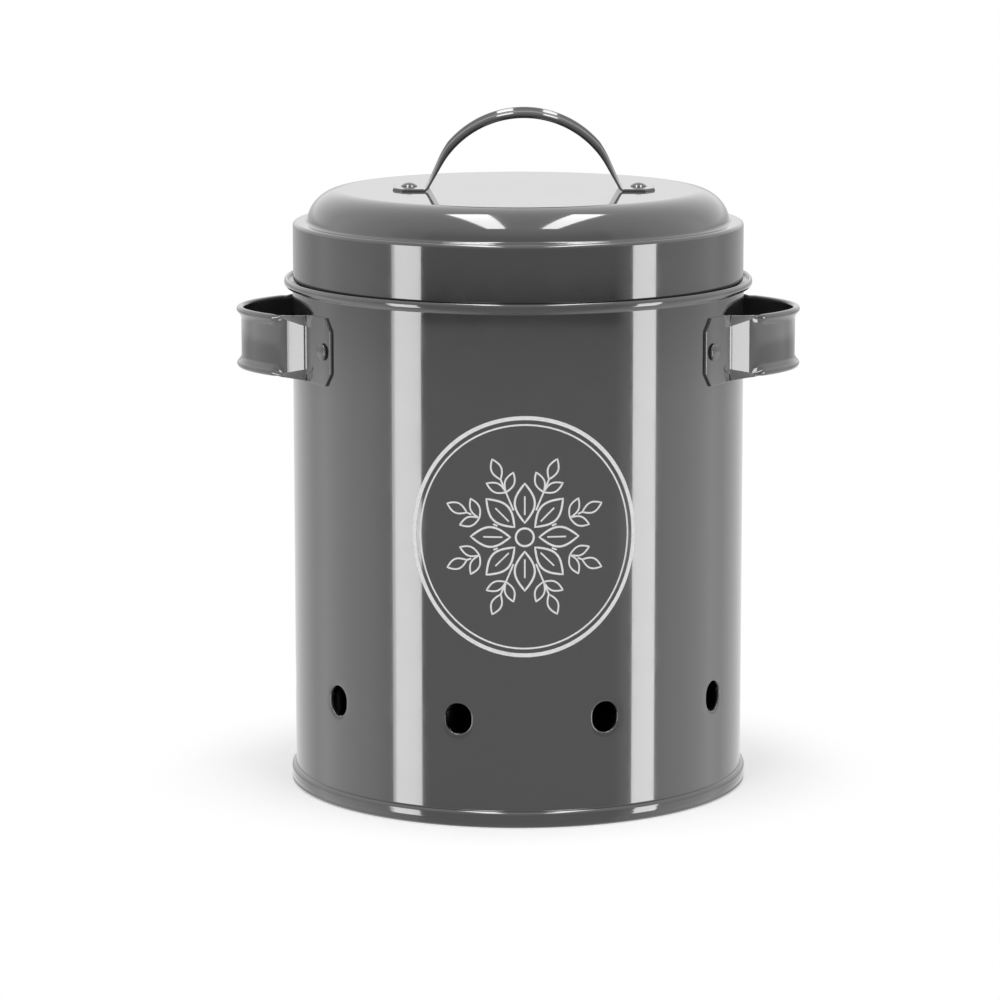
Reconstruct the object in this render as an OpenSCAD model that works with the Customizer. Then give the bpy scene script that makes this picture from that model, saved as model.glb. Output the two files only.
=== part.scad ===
// Lidded storage canister of painted sheet steel, with air vents, two riveted
// side handles and a lift-off lid with a riveted grip.
// Millimetres, +Z up, the table at z = 0, the front towards -Y, side handles along X.

/* [Body] */
// Outer diameter of the wall
body_d = 136; // [124:1:170]
// Height of the rolled rim's crest above the table
rim_h = 153.8; // [120:0.1:200]
// Thickness of the sheet steel of the body, the base and the lid
sheet_t = 0.4; // [0.3:0.05:0.6]
// Outer diameter of the rolled rim's section
curl_d = 3.1; // [2.6:0.1:4.5]
// Part of a full turn that the rim's roll makes, in degrees
curl_sweep = 300; // [240:5:305]
// Width of the upright seam's lap, on the inside of the back
lap_w = 5; // [3:0.5:9]
// Width of the fine groove that the seam leaves outside
groove_w = 0.6; // [0.4:0.1:1.2]
// Depth of that groove
groove_depth = 0.15; // [0.05:0.05:0.25]

/* [Bottom seam] */
// Height of the folded seam round the bottom
seam_h = 4.8; // [3.8:0.1:7]
// Clearance between the folded layers of the seam
seam_gap = 0.04; // [0.03:0.01:0.06]
// Outer radius of the seam's two lower edges
seam_edge_r = 0.8; // [0.6:0.05:0.9]
// Height of the base panel's upper face above the table
panel_h = 5.2; // [4:0.1:9]
// Outer radius between the base panel and its upright wall
panel_r = 1; // [0.7:0.1:2]

/* [Vents] */
// Number of vents round the wall
vent_count = 10; // [4:1:10]
// Angle from one vent to the next
vent_step = 36.9; // [24:0.1:38]
// Angle by which the row, and the seam opposite it, are turned from the front
vent_turn = 3.5; // [-9:0.5:9]
// Height of the vents' centres above the table
vent_z = 31.9; // [20:0.1:60]
// Width of a vent
vent_w = 7.8; // [5:0.1:11]
// Height of a vent
vent_h = 9; // [8:0.1:14]
// Depth of the lip that the punch turns inwards
vent_lip = 0.8; // [0.4:0.1:2]

/* [Lid] */
// How far the lid's band stands back from the wall's outer face
band_inset = 0.2; // [0:0.05:0.4]
// Height of the upright band, from the joggle to the rounded corner
band_h = 15.9; // [8:0.1:30]
// Outer radius of the corner between band and ledge
corner_r = 1.1; // [0.8:0.1:3]
// Width of the flat ledge round the dome
ledge_w = 2.4; // [0.5:0.1:5]
// Outer radius of the hollow between ledge and dome
hollow_r = 0.8; // [0.5:0.1:2]
// Outer radius of the dome's rounded flank
dome_r = 10.7; // [10:0.1:16]
// Height of the flat top above the ledge
dome_h = 9.5; // [5:0.1:10]
// Height of the neck that plugs into the mouth
neck_h = 9.4; // [6:0.1:12]
// Radial play of the neck in the mouth
neck_play = 0.8; // [0.75:0.05:1.2]
// Radius of the joggle's two bends, at the middle of the sheet
joggle_r = 0.6; // [0.5:0.05:0.9]
// Outer diameter of the hem rolled in at the neck's lower edge
hem_d = 1.6; // [1.3:0.1:2.5]
// Clearance at which the lid's joggle rests over the rim
rest_gap = 0.3; // [0.2:0.05:0.6]

/* [Straps] */
// Width of the handle straps
strap_w = 18.5; // [14:0.1:26]
// Thickness of the handle straps
strap_t = 0.7; // [0.5:0.05:1]
// Diameter of the bead rolled along both edges of a strap
bead_d = 2.1; // [1.6:0.1:3]
// Width of the hollow between a strap's flat middle and its bead
bead_hollow = 1.7; // [1:0.1:2.5]
// Length of the cut corners at a strap's ends
chamfer_l = 3; // [1:0.1:4]
// Width of the cut corners at a strap's ends
chamfer_w = 4; // [1:0.1:5]

/* [Lid handle] */
// Inner radius of the grip's arch
grip_r = 28.2; // [24:0.1:31]
// Height of the arch's underside above the lid
grip_rise = 21.8; // [18:0.1:26]
// Slope of the grip's legs, in degrees
leg_a = 60; // [50:1:66]
// Inner radius of the bend at each foot
foot_r = 1.6; // [1.2:0.1:3]
// Length of the tabs on the lid, from foot to tip
tab_l = 10.4; // [9:0.1:13]
// Distance of the rivet from the foot
tab_rivet = 5.6; // [4.8:0.1:6]
// Length over which the beads flatten out above the feet
leg_flat_l = 14; // [8:0.5:20]
// How far the grip sits to the right of the lid's middle
grip_shift = 1.7; // [-3:0.1:3]

/* [Side handles] */
// How far a side handle stands out from the wall
loop_out = 17; // [13:0.1:24]
// Inner radius of a side handle's loop
loop_r = 30; // [27:0.5:36]
// How far the side handles' middle lies below the rim's crest
loop_drop = 18.1; // [16.6:0.1:50]
// Length of a flange on the wall, from fold to tip
flange_l = 14.3; // [13:0.1:18]
// Distance of the rivet from the fold
flange_rivet = 10.1; // [8:0.1:10.2]
// Radius of the fold between flange and loop, on the side of the wall
fold_r = 1.1; // [0.9:0.05:2]
// Length of the straight gusset beside the fold
gusset_l = 6.4; // [4:0.1:9]
// Length over which the beads flatten out towards the fold
loop_flat_l = 8; // [6:0.5:12]

/* [Rivets] */
// Diameter of the rivets' shanks
shank_d = 3; // [2.4:0.1:3.4]
// Diameter of the domed heads
head_d = 5.2; // [4.4:0.1:6]
// Height of the domed heads
head_h = 1.1; // [0.8:0.1:1.8]
// Diameter of the closed tails
tail_d = 4.6; // [4.2:0.1:5.4]
// Height of the closed tails
tail_h = 0.9; // [0.6:0.1:1.4]
// Radial clearance of a shank in its holes
shank_gap = 0.05; // [0.03:0.01:0.1]
// Clearance between two faces that rest on each other
seat_gap = 0.05; // [0.04:0.01:0.08]

/* [Hidden] */

// Overrun of a cut past the faces that it opens
over = 1;
// Facets of the large turned forms and of the small ones, for display
$fn = 128;
small_fn = 48;
full_turn = 360;
// Steps in which a section goes round its rolls, bends, tight edges and dome
curl_steps = 24;
bend_steps = 12;
edge_steps = 6;
dome_steps = 16;

body_r = body_d / 2;
mouth_r = body_r - sheet_t;

// Rolled rim: its section is a circle that touches the mouth from outside
curl_r = curl_d / 2;
curl_axis_r = mouth_r + curl_r;
curl_z = rim_h - curl_r;

// Bottom seam, from the wall outwards: wall, base hook, body hook, base skirt
seam_pitch = sheet_t + seam_gap;
hook_in_r = seam_gap + sheet_t / 2;
hook_out_r = hook_in_r + sheet_t;
base_hook_r = body_r + seam_gap;
body_hook_r = base_hook_r + seam_pitch;
skirt_r = body_hook_r + seam_pitch;
chuck_r = mouth_r - seam_gap;
body_fold_r = body_r + hook_in_r;
base_fold_r = body_hook_r + sheet_t / 2;
seam_low_z = sheet_t + seam_gap + hook_out_r;
seam_top_z = seam_h - hook_out_r;
panel_z = panel_h - panel_r;
hook_end_gap = seam_gap + sheet_t / 4;

// Lid, from the joggle upwards
band_r = body_r - band_inset;
neck_r = mouth_r - neck_play;
joggle_a = acos(1 - (band_r - neck_r) / (2 * joggle_r));
// The band's foot clears the rim's roll by rest_gap
foot_reach = curl_axis_r - band_r;
band_z = curl_z + sqrt(pow(curl_r + rest_gap, 2) - pow(foot_reach, 2));
joggle_h = 2 * joggle_r * sin(joggle_a);
neck_top_z = band_z - joggle_h;
neck_z = neck_top_z - neck_h;
hem_r = hem_d / 2;
// Angle, about the hem's own axis, of the sheet's free edge
hem_a = 140;
corner_z = band_z + band_h;
ledge_z = corner_z + corner_r;
hollow_axis_r = band_r - corner_r - ledge_w;
dome_a = acos(1 - dome_h / (dome_r + hollow_r));
plateau_r = hollow_axis_r - (dome_r + hollow_r) * sin(dome_a);
plateau_z = ledge_z + dome_h;

// Strap section
bead_r = bead_d / 2;
edge_w = bead_d + bead_hollow;
hollow_steps = 3;
bead_first_a = 150;
bead_step_a = 30;
// Where each bead point lies in the flattened edge, as a share of its width
flat_shares = [0.94, 0.88, 0.8, 0.45, 0.08, 0, 0.01, 0.06, 0.2];

// Lid handle, in its own plane: x along the lid, y up from the underside of the tabs
arch_y = grip_rise - grip_r;
arch_end = [grip_r * sin(leg_a), arch_y + grip_r * cos(leg_a)];
foot_x = arch_end[0] + arch_end[1] / tan(leg_a);
arch_steps = 20;
foot_steps = 4;
grip_z = plateau_z + seat_gap;
lid_rivet_x = foot_x + tab_rivet;

// Side handle, in plan: the loop is a circle that crosses the wall at the folds
flange_r = body_r + seat_gap;
loop_z = rim_h - loop_drop;
loop_x = body_r + loop_out - bead_d - loop_r;
fold_x = (pow(flange_r, 2) - pow(loop_r, 2) + pow(loop_x, 2)) / (2 * loop_x);
fold_a = acos(fold_x / flange_r);
fold_loop_a = acos((fold_x - loop_x) / loop_r);
gusset_a = fold_loop_a - 2 * asin(gusset_l / 2 / loop_r);
tip_a = fold_a + flange_l / flange_r * full_turn / 2 / PI;
chamfer_a = tip_a - chamfer_l / flange_r * full_turn / 2 / PI;
side_rivet_a = fold_a + flange_rivet / flange_r * full_turn / 2 / PI;
flange_steps = 3;
fold_steps = 3;
loop_steps = 22;

// A point on a circle, from its centre, radius and angle
function on_circle(c, r, a) = [c[0] + r * cos(a), c[1] + r * sin(a)];
function unit(v) = v / norm(v);
function mix(a, b, share) = a + (b - a) * share;
function clamp01(v) = max(0, min(1, v));
function reversed(list) = [for (i = [len(list) - 1:-1:0]) list[i]];
function turned_right(v) = [v[1], -v[0]];
// Sum of the first n numbers of a list
function sum_to(list, n, i = 0, total = 0) =
    i >= n ? total : sum_to(list, n, i + 1, total + list[i]);
// Distance along the path from its start to each of its points
function distances(path) =
    let (steps = [for (i = [1:len(path) - 1]) norm(path[i] - path[i - 1])])
    [for (i = [0:len(steps)]) sum_to(steps, i)];

// Points of a rounded corner at c, between unit directions d1 and d2
function corner_arc(c, d1, d2, r, steps) =
    let (side = sign(d1[0] * d2[1] - d1[1] * d2[0]),
         turn = acos(d1 * d2),
         first = c - d1 * r * tan(turn / 2),
         across = -side * turned_right(d1))
    [for (i = [0:steps]) let (a = turn * i / steps)
        first + d1 * r * sin(a) + across * r * (1 - cos(a))];

// Half of a strap's section from the flat middle round the bead to the inner face,
// as [across, outwards] points: flat = 0 has the full bead, flat = 1 is flattened
function half_section(half_w, flat) =
    let (crest_w = edge_w - bead_r + bead_r * cos(bead_first_a),
         crest_rise = bead_r * (1 + sin(bead_first_a)) - strap_t)
    concat(
        [for (i = [0:hollow_steps - 1]) let (s = i / hollow_steps)
            [half_w - edge_w + s * mix(crest_w, edge_w * (1 - flat_shares[0]), flat),
             strap_t + (1 - flat) * crest_rise * (1 - cos(s * full_turn / 4))]],
        [for (i = [0:len(flat_shares) - 1])
            let (a = bead_first_a - i * bead_step_a,
                 round_v = bead_r * (1 + sin(a)),
                 flat_v = cos(a) < 0 ? strap_t : round_v * strap_t / bead_d)
            [mix(half_w - bead_r + bead_r * cos(a), half_w - edge_w * flat_shares[i], flat),
             mix(round_v, flat_v, flat)]]);

function whole_section(half_w, flat) =
    let (half = half_section(half_w, flat))
    concat(half, [for (p = reversed(half)) [-p[0], p[1]]]);

// A strap swept along a path of inner-face points in the XY plane, its width along Z.
// The beads flatten out over flat_l beyond the flat_from length at both ends.
module strap(path, flat_from, flat_l) {
    along = distances(path);
    last = len(path) - 1;
    rings = [for (i = [0:last])
        let (before = unit(path[max(i, 1)] - path[max(i, 1) - 1]),
             after = unit(path[min(i, last - 1) + 1] - path[min(i, last - 1)]),
             heading = unit(before + after),
             out = turned_right(heading) / (heading * before),
             end_l = min(along[i], along[last] - along[i]),
             half_w = strap_w / 2 - chamfer_w * (1 - clamp01(end_l / chamfer_l)),
             flat = 1 - clamp01((end_l - flat_from) / flat_l))
        [for (p = whole_section(half_w, flat))
            [path[i][0] + out[0] * p[1], path[i][1] + out[1] * p[1], p[0]]]];
    n = len(rings[0]);
    sides = [for (i = [0:last - 1], j = [0:n - 1])
        let (a = i * n + j, b = i * n + (j + 1) % n)
        each [[a, b, b + n], [a, b + n, a + n]]];
    // Each end is a fan round the middle of its section
    middles = [for (i = [0, last]) (rings[i][0] + rings[i][n / 2]) / 2];
    first_m = len(path) * n;
    ends = [for (j = [0:n - 1])
        each [[first_m, (j + 1) % n, j], [first_m + 1, last * n + j, last * n + (j + 1) % n]]];
    polyhedron(concat([for (ring = rings) each ring], middles), concat(sides, ends));
}

// Stretch of bent sheet in a section: pairs of points on its two faces, at the radii r1
// and r2 from the bend's centre c, from angle a0 to a1
function turn(c, r1, r2, a0, a1, steps) =
    [for (i = [0:steps]) let (a = mix(a0, a1, i / steps)) [on_circle(c, r1, a), on_circle(c, r2, a)]];

// Section of a sheet from such pairs, straight between one bend and the next
module sheet(pairs) {
    polygon(concat([for (p = pairs) p[0]], [for (p = reversed(pairs)) p[1]]));
}

// Rolled rim, wall, and the hook that the bottom seam folds in
module body_section() {
    sheet(concat(
        turn([curl_axis_r, curl_z], curl_r, curl_r - sheet_t, 180 - curl_sweep, 180, curl_steps),
        turn([body_fold_r, seam_low_z], hook_out_r, hook_in_r, 180, 360, bend_steps),
        [[for (r = [body_hook_r + sheet_t, body_hook_r]) [r, seam_top_z - hook_end_gap]]]));
}

// Outline of a vent, grown by extra all round: two half rounds, one above the other
module vent_outline(extra) {
    rise = (vent_h - vent_w) / 2;
    polygon([for (s = [1, -1], i = [0:bend_steps])
        on_circle([0, s * rise], vent_w / 2 + extra, 90 - s * 90 + i / bend_steps * 180)]);
}

// Puts a child that points along +Z on the wall's axis plane, pointing outwards at angle a
module on_wall(a, z, r) {
    rotate([0, 0, a]) translate([r, 0, z]) rotate([0, 90, 0]) rotate([0, 0, 90]) children();
}

module at_vents() {
    for (i = [0:vent_count - 1])
        on_wall(vent_turn - full_turn / 4 + (i - (vent_count - 1) / 2) * vent_step, vent_z, 0)
            children();
}

module body_shell() {
    lip_r = sqrt(pow(mouth_r, 2) - pow(vent_w / 2 + sheet_t, 2)) - vent_lip;
    lap_r = mouth_r - sheet_t;
    lap_z = panel_h + seam_gap;
    seam_end_z = rim_h - curl_d;
    color([0.31, 0.31, 0.32]) difference() {
        union() {
            rotate_extrude() body_section();
            // Lips drawn inwards round the vents
            intersection() {
                at_vents() translate([0, 0, lip_r]) linear_extrude(body_r - lip_r)
                    vent_outline(sheet_t);
                cylinder(r = mouth_r + sheet_t / 2, h = rim_h);
            }
            // Lap of the upright seam, inside the back
            intersection() {
                difference() {
                    cylinder(r = mouth_r + sheet_t / 2, h = rim_h);
                    cylinder(r = lap_r, h = rim_h);
                }
                rotate([0, 0, vent_turn + full_turn / 4])
                    translate([lap_r / 2, -lap_w / 2, lap_z])
                    cube([body_r, lap_w, seam_end_z - lap_z]);
            }
        }
        at_vents() translate([0, 0, lip_r - over]) linear_extrude(body_r - lip_r + 2 * over)
            vent_outline(0);
        for (side = [0, 180], end = [-1, 1])
            on_wall(side + end * side_rivet_a, loop_z, lap_r - over)
                cylinder(d = shank_d + 2 * shank_gap, h = body_r - lap_r + 2 * over, $fn = small_fn);
        rotate([0, 0, vent_turn + full_turn / 4])
            translate([body_r - groove_depth, -groove_w / 2, seam_h])
            cube([over, groove_w, seam_end_z - seam_h]);
    }
}

// Base pan: panel, upright wall inside the body, and the skirt folded round the body hook
module base_section() {
    edge_in_r = seam_edge_r - sheet_t;
    inner_edge = [chuck_r - sheet_t + seam_edge_r, seam_edge_r];
    outer_edge = [skirt_r + sheet_t - seam_edge_r, seam_edge_r];
    sheet(concat(
        [[for (y = [panel_h, panel_h - sheet_t]) [0, y]]],
        turn([chuck_r - panel_r, panel_z], panel_r, panel_r - sheet_t, 90, 0, bend_steps),
        turn(inner_edge, edge_in_r, seam_edge_r, 180, 270, edge_steps),
        turn(outer_edge, edge_in_r, seam_edge_r, 270, 360, edge_steps),
        turn([base_fold_r, seam_top_z], hook_in_r, hook_out_r, 0, 180, bend_steps),
        [[for (r = [base_hook_r + sheet_t, base_hook_r]) [r, seam_low_z + hook_end_gap]]]));
}

module base_pan() {
    color([0.31, 0.31, 0.32]) rotate_extrude() base_section();
}

// Lid from the hem up the neck, over the joggle, band, corner, ledge and dome to the top
module lid_section() {
    tight_r = joggle_r - sheet_t / 2;
    wide_r = joggle_r + sheet_t / 2;
    sheet(concat(
        turn([neck_r - hem_r, neck_z], hem_r, hem_r - sheet_t, hem_a, 360, curl_steps),
        turn([neck_r + tight_r, neck_top_z], tight_r, wide_r, 180, 180 - joggle_a, edge_steps),
        turn([band_r - wide_r, band_z], wide_r, tight_r, -joggle_a, 0, edge_steps),
        turn([band_r - corner_r, corner_z], corner_r, corner_r - sheet_t, 0, 90, bend_steps),
        turn([hollow_axis_r, ledge_z + hollow_r], hollow_r, hollow_r + sheet_t,
             270, 270 - dome_a, edge_steps),
        turn([plateau_r, plateau_z - dome_r], dome_r, dome_r - sheet_t, 90 - dome_a, 90, dome_steps),
        [[for (y = [plateau_z, plateau_z - sheet_t]) [0, y]]]));
}

module lid_shell() {
    color([0.34, 0.34, 0.35]) difference() {
        rotate_extrude() lid_section();
        for (s = [-1, 1]) translate([grip_shift + s * lid_rivet_x, 0, plateau_z - sheet_t - over])
            cylinder(d = shank_d + 2 * shank_gap, h = sheet_t + 2 * over, $fn = small_fn);
    }
}

// Strap arched over the lid, its flattened ends turned out into tabs
module lid_handle() {
    leg_up = unit([arch_end[0] - foot_x, arch_end[1]]);
    tab_in = [-1, 0];
    right = concat([[foot_x + tab_l, 0], [foot_x + tab_l - chamfer_l, 0]],
        corner_arc([foot_x, 0], tab_in, leg_up, foot_r, foot_steps));
    arch = [for (i = [0:arch_steps])
        on_circle([0, arch_y], grip_r, full_turn / 4 - leg_a + i * 2 * leg_a / arch_steps)];
    left = [for (p = reversed(right)) [-p[0], p[1]]];
    color([0.3, 0.3, 0.31]) difference() {
        translate([grip_shift, 0, grip_z]) rotate([90, 0, 0])
            strap(concat(right, arch, left), tab_l, leg_flat_l);
        for (s = [-1, 1]) translate([grip_shift + s * lid_rivet_x, 0, grip_z - over])
            cylinder(d = shank_d + 2 * shank_gap, h = strap_t + 2 * over, $fn = small_fn);
    }
}

// Strap looped out from the wall, its ends flattened through gussets into flanges
module side_handle() {
    fold = on_circle([0, 0], flange_r, -fold_a);
    gusset_end = on_circle([loop_x, 0], loop_r, -gusset_a);
    wall_in = turned_right([-cos(fold_a), sin(fold_a)]);
    flange = concat([on_circle([0, 0], flange_r, -tip_a)],
        [for (i = [0:flange_steps - 1])
            on_circle([0, 0], flange_r, -mix(chamfer_a, fold_a, i / flange_steps))]);
    front = concat(flange, corner_arc(fold, wall_in, unit(gusset_end - fold), fold_r, fold_steps));
    loop = [for (i = [0:loop_steps])
        on_circle([loop_x, 0], loop_r, -gusset_a + i * 2 * gusset_a / loop_steps)];
    back = [for (p = reversed(front)) [p[0], -p[1]]];
    difference() {
        translate([0, 0, loop_z]) strap(concat(front, loop, back), flange_l, loop_flat_l);
        for (end = [-1, 1]) on_wall(end * side_rivet_a, loop_z, flange_r - over)
            cylinder(d = shank_d + 2 * shank_gap, h = strap_t + 2 * over, $fn = small_fn);
    }
}

module side_handle_right() {
    color([0.32, 0.32, 0.33]) side_handle();
}

module side_handle_left() {
    color([0.32, 0.32, 0.33]) mirror([1, 0, 0]) side_handle();
}

// Rivet along Z, its head's seat at z = 0 and its tail's seat at z = -grip
module rivet(grip) {
    dome_r = (pow(head_d / 2, 2) + pow(head_h, 2)) / 2 / head_h;
    color([0.36, 0.36, 0.37]) rotate_extrude($fn = small_fn) {
        intersection() {
            translate([0, head_h - dome_r]) circle(dome_r, $fn = small_fn);
            square([head_d / 2, head_h]);
        }
        translate([0, -grip]) square([shank_d / 2, grip]);
        translate([0, -grip - tail_h]) square([(tail_d - tail_h) / 2, tail_h]);
        intersection() {
            translate([(tail_d - tail_h) / 2, -grip - tail_h / 2]) circle(d = tail_h, $fn = small_fn);
            translate([0, -grip - tail_h]) square([tail_d / 2, tail_h]);
        }
    }
}

module side_rivet(a) {
    seat_r = flange_r + strap_t + seat_gap;
    tail_seat_r = sqrt(pow(mouth_r, 2) - pow(tail_d / 2, 2)) - seat_gap;
    on_wall(a, loop_z, seat_r) rivet(seat_r - tail_seat_r);
}

module lid_rivet(side) {
    seat_z = grip_z + strap_t + seat_gap;
    tail_seat_z = plateau_z - sheet_t - seat_gap;
    translate([grip_shift + side * lid_rivet_x, 0, seat_z]) rivet(seat_z - tail_seat_z);
}

body_shell();
base_pan();
side_handle_left();
side_handle_right();
side_rivet(full_turn / 2 + side_rivet_a);  // side_rivet_left_front
side_rivet(full_turn / 2 - side_rivet_a);  // side_rivet_left_back
side_rivet(-side_rivet_a);  // side_rivet_right_front
side_rivet(side_rivet_a);  // side_rivet_right_back
lid_shell();
lid_handle();
lid_rivet(-1);  // lid_rivet_left
lid_rivet(1);  // lid_rivet_right
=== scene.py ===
import math

import bmesh
import bpy
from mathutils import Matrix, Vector


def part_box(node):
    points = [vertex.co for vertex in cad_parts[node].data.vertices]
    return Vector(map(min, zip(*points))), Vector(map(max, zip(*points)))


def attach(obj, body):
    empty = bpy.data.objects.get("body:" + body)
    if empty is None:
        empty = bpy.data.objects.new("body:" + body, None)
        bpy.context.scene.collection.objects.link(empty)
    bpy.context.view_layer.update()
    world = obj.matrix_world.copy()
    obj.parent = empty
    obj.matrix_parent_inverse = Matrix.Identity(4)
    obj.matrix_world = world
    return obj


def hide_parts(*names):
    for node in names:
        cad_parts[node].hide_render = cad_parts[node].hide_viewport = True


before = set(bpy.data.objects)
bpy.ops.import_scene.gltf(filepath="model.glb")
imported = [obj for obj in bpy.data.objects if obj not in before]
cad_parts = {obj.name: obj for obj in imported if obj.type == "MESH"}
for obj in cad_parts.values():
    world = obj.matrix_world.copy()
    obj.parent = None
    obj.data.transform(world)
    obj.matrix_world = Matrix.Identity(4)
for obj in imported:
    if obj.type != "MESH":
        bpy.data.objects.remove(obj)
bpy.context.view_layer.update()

# Sizes in millimetres, angles in degrees, most of them as in the part's own source. The rim's
# roll and flare, the lid's foot, the vents' edges, the skirt of the bottom seam, the heads of the
# side rivets and the bends and facets of the side straps are drawn closer to the real object
# here, and the print is in this file only
MM = 0.001

# The wall: radius of its face, its sheet and its height
BODY_R = 68
SHEET_T = 0.4
MOUTH_R = BODY_R - SHEET_T
RIM_H = 153.8

# The rolled rim: taller than wide, from its free edge round to a short flare of the wall. The
# edge is at ROLL_FIRST_A, counted upwards from the roll's outer side. The lid's band ends a
# little below its crest, behind a dark gap
ROLL_R = 69.85
ROLL_HALF_W = 0.65
ROLL_HALF_H = 1.25
ROLL_FIRST_A = -130
FLARE_Z = 150.8

# The wall's upright seam at the back: a lap inside and a fine groove outside, each with its edges
# stepped over STEP_W
SEAM_TOP_Z = 149.6
LAP_W = 5
GROOVE_W = 0.6
GROOVE_DEPTH = 0.15
STEP_W = 0.04

# The folded bottom seam and the base's panel
SEAM_H = 4.8
SEAM_GAP = 0.04
SEAM_EDGE_R = 0.8
PANEL_H = 5.2
PANEL_R = 1
HOOK_END_Z = 3.4

# The skirt's outer face: its greatest radius, the angle where the bend at its foot ends, the
# height and radius of its bulge, and its rounding at the top, which starts at SKIRT_ROUND_Z
# round an axis that is SKIRT_AXIS_GAP off the wall, and rises a little above SEAM_H
SKIRT_R = 69.34
SKIRT_FOOT_A = 345
SKIRT_BULGE_Z = 2.7
SKIRT_BULGE_R = 7
SKIRT_ROUND_Z = 3.5
SKIRT_AXIS_GAP = 0.12
SKIRT_RISE = 0.05
SKIRT_LAST_A = 86
# The enamel in the corner above it, as pairs of distance from the wall and height above SEAM_H
SKIRT_FILLET = ((0.10, 0.09), (0.05, 0.15), (0.02, 0.25))

# The vents: their number, the angle between them and how far their row is turned to the right,
# which also turns the upright seam behind. Square patches of the wall's mesh hold them
VENT_COUNT = 10
VENT_STEP = 36.9
VENT_TURN = 3.5
VENT_Z = 31.9
VENT_W = 7.8
VENT_H = 9
VENT_LIP = 1.2
VENT_LIP_R = 0.5
VENT_DISH = 0.12
VENT_LIP_FIRST_A = 8
VENT_PATCH_HALF = 10.5
VENT_PATCH_STEPS = 16
# Rings of a vent, as pairs of distance from its opening and depth in the wall: those of the
# dished edge, and those from the lip's inner side out to the wall's inner face
VENT_EDGE = ((3.6, 0.0), (2.4, 0.004), (1.8, 0.016), (1.3, 0.038), (0.9, 0.07), (0.65, 0.095))
VENT_BACK = ((SHEET_T, 0.95), (0.5, 0.8), (0.75, 0.66), (1.1, 0.56), (1.6, 0.47), (2.4, 0.41),
             (3.2, SHEET_T))

# The lid, from its band's foot to its flat top
BAND_R = BODY_R - 0.2
BAND_Z = 152.6
CORNER_Z = 169.415
CORNER_R = 1.1
LEDGE_W = 2.4
HOLLOW_R = 0.8
DOME_R = 10.7
DOME_H = 9.5
NECK_R = MOUTH_R - 0.8
JOGGLE_R = 0.5
HEM_R = 0.8
HEM_FIRST_A = 140

# The straps of all three handles: a bead and a hollow along both edges, cut corners at the ends,
# and small roundings of a pressed edge and of the ends
SEAT_GAP = 0.05
FLANGE_R = BODY_R + SEAT_GAP
STRAP_W = 18.5
STRAP_T = 0.7
BEAD_D = 2.1
BEAD_HOLLOW = 1.7
BEAD_R = BEAD_D / 2
EDGE_W = BEAD_D + BEAD_HOLLOW
CHAMFER_L = 3
CHAMFER_W = 4
EDGE_R = 0.3
TIP_R = 0.55

# The side handles. FLANGE_RIVET is the distance of the rivet from the fold
LOOP_OUT = 17
LOOP_R = 30
LOOP_Z = 135.7
FLANGE_L = 14.3
FLANGE_RIVET = 10.1
FOLD_R = 1.3

# Their web beside the fold: its length, and pairs of a share of it and the way that the web
# faces there, from the front. The two handles differ a little. The loop goes on from the web
# with a kink, in two arcs. LOOP_FACES is how it faces at the kink, where they meet and at the
# nose
WEB_L = 7
LEFT_WEB = ((0.0, 35), (0.08, 25), (0.11, 20.5), (0.16, 21), (0.23, 26.8), (1.0, 30.4))
RIGHT_WEB = ((0.0, 38), (0.09, 29), (0.12, 27), (0.16, 27.4), (0.24, 29), (1.0, 31))
LOOP_FACES = (36, 60, 90)

# Where a side strap's bead is pressed into a facet: the facet's width at the fold and where the
# full bead starts to come up, FACET_L further on, and how far its edge stands out
FACET_W = (3.6, 1.0)
FACET_RISE = 1.0
FACET_L = 8.7
# Length before the fold in which the facet comes up from the flat flange
FACET_START_L = 0.9
# How far the pressed edge spreads on each side, and the length before the fold where that
# starts to fade, to nothing at the end of the web
SPREAD = 0.85
SPREAD_FADE_L = 4
# Length along the loop in which the full bead comes up
BEAD_L = 3.5

# The lid's grip: its arch, the slope of its legs, the bends at their feet, and its tabs. The
# bead comes up over LEG_FLAT_L, and the grip sits GRIP_SHIFT right of the lid's middle
GRIP_R = 28.2
GRIP_RISE = 21.8
LEG_A = 60
FOOT_R = 1.6
TAB_L = 10.4
LEG_FLAT_L = 14
GRIP_SHIFT = 1.7

# The side handles' rivets. HEAD_OUTLINE goes from the head's underside over its pressed edge to
# its middle, as pairs of radius and height
SHANK_R = 1.5
TAIL_R = 2.3
TAIL_H = 0.9
HEAD_OUTLINE = ((2.15, 0.04), (2.38, 0.12), (2.52, 0.28), (2.58, 0.46), (2.54, 0.64), (2.4, 0.8),
                (2.15, 0.92), (1.7, 1.01), (1.0, 1.07), (0.4, 1.095))
HEAD_H = 1.1
RIVET_STEPS = 40

# The round print on the front of the wall: its turn to the right, its middle's height, the
# two faces of its ink above the wall, and its rings, each as half its width, half its height
# and its line's width
PRINT_TURN = 1.6
PRINT_Z = 86
INK_LOW, INK_HIGH = 0.03, 0.07
RINGS = ((32.95, 34.75, 1.15), (31.05, 32.75, 0.5))
RING_STEPS = 160

# Steps in which a strap's section goes round its bead, and its path along its parts
BEAD_STEPS = 24
HOLLOW_STEPS = 6
BEND_STEPS = 6
WEB_STEPS = 30
LOOP_STEPS = 60
ARCH_STEPS = 180

# Steps of the turned sheets: round the axis, round the rolls, round a bend and over the dome
TURN_STEPS = 256
CURL_STEPS = 28
TIGHT_STEPS = 10
DOME_STEPS = 40
# Distance from a bend at which a straight stretch gets a support row for its shading
SUPPORT = 0.12


def mix(a, b, share):
    return a + (b - a) * share


def clamp01(value):
    return max(0.0, min(1.0, value))


def on_circle(centre, r, a):
    return Vector((centre[0] + r * math.cos(a), centre[1] + r * math.sin(a)))


def facing(a):
    """The way that a path goes where its outer side faces a from the front."""
    return Vector((math.cos(a), math.sin(a)))


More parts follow.
